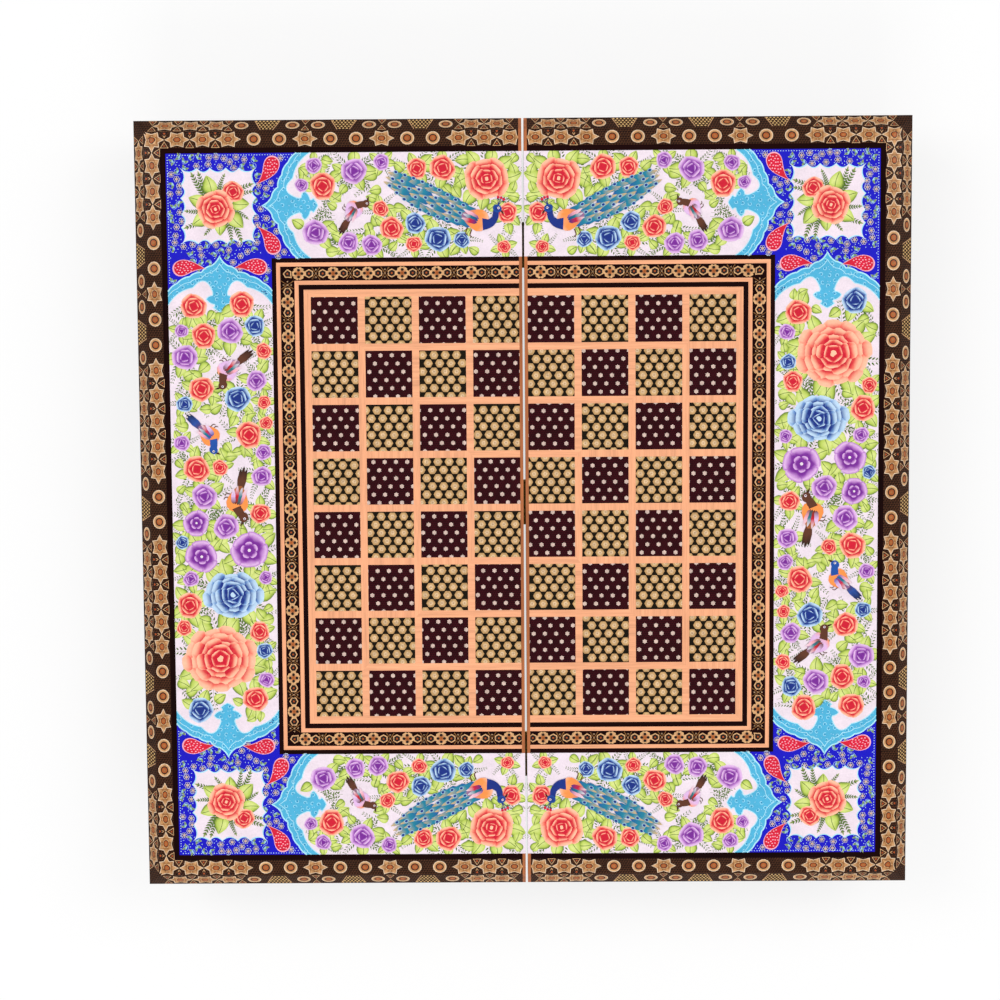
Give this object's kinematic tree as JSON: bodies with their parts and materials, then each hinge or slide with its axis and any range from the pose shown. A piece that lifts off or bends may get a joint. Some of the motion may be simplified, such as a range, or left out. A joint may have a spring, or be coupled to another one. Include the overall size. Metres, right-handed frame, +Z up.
{
  "type": "inlaid folding backgammon board",
  "caption": "Square folding game board: two hinged wooden trays, inlaid chess field and painted borders outside, play fields with inlaid points inside.",
  "frame": {"origin": "middle of the open board's underside, at the lowest point of the hinge knuckles", "axes": "+Z up out of the chess face, +Y along the hinge line, towards the upper edge in the picture, +X towards the right half"},
  "size_m": [0.5, 0.5, 0.042],
  "materials": {
    "frame_wood": "oiled dark walnut rails",
    "core_wood": "plywood core",
    "edge_inlay": "star inlay under lacquer",
    "side_veneer": "lacquered walnut veneer",
    "rim_cap": "lacquered inlaid cap",
    "black_stringing": "black stained stringing under lacquer",
    "painted_ground": "miniature painting under lacquer",
    "light_line": "pale lacquered stringing",
    "chain_inlay": "chain inlay under lacquer",
    "light_strip": "pale lacquered strips",
    "dark_square": "burgundy inlay under lacquer",
    "light_square": "tan hexagon inlay under lacquer",
    "spine_strip": "pale edge strip",
    "field_ground": "walnut play field under lacquer",
    "field_frame": "star inlay under lacquer",
    "point_dark": "dark inlaid points",
    "point_light": "light inlaid points",
    "field_star": "inlaid star",
    "cradle": "scalloped walnut strips",
    "hinge_brass": "satin brass"
  },
  "bodies": {
    "left_half": {"left_border_line_inner": "light_line", "left_border_line_outer": "light_line", "left_checker_cradles": "cradle", "left_chess_lattice": "light_strip", "left_core_panel": "core_wood", "left_dark_squares": "dark_square", "left_edge_moulding": "edge_inlay", "left_field_frame": "field_frame", "left_field_medallion": "field_star", "left_field_points_dark": "point_dark", "left_field_points_light": "point_light", "left_field_veneer": "field_ground", "left_hinge_leaves": "hinge_brass", "left_hinge_screws": "hinge_brass", "left_inlay_band": "chain_inlay", "left_inner_stringing": "black_stringing", "left_light_squares": "light_square", "left_middle_stringing": "black_stringing", "left_outer_stringing": "black_stringing", "left_painted_panel": "painted_ground", "left_rail_bottom": "frame_wood", "left_rail_end": "frame_wood", "left_rail_spine": "frame_wood", "left_rail_top": "frame_wood", "left_rim_caps": "rim_cap", "left_side_veneers": "side_veneer", "left_spine_strip": "spine_strip", "hinge_pins": "hinge_brass"},
    "right_half": {"right_border_line_inner": "light_line", "right_border_line_outer": "light_line", "right_checker_cradles": "cradle", "right_chess_lattice": "light_strip", "right_core_panel": "core_wood", "right_dark_squares": "dark_square", "right_edge_moulding": "edge_inlay", "right_field_frame": "field_frame", "right_field_medallion": "field_star", "right_field_points_dark": "point_dark", "right_field_points_light": "point_light", "right_field_veneer": "field_ground", "right_hinge_leaves": "hinge_brass", "right_hinge_screws": "hinge_brass", "right_inlay_band": "chain_inlay", "right_inner_stringing": "black_stringing", "right_light_squares": "light_square", "right_middle_stringing": "black_stringing", "right_outer_stringing": "black_stringing", "right_painted_panel": "painted_ground", "right_rail_bottom": "frame_wood", "right_rail_end": "frame_wood", "right_rail_spine": "frame_wood", "right_rail_top": "frame_wood", "right_rim_caps": "rim_cap", "right_side_veneers": "side_veneer", "right_spine_strip": "spine_strip"}
  },
  "joints": [
    {"name": "fold", "type": "hinge", "parent": "left_half", "child": "right_half", "pos_m": [0, 0, 0.002], "axis": [0, 1, 0], "range_deg": [-1.5, 180]}
  ]
}
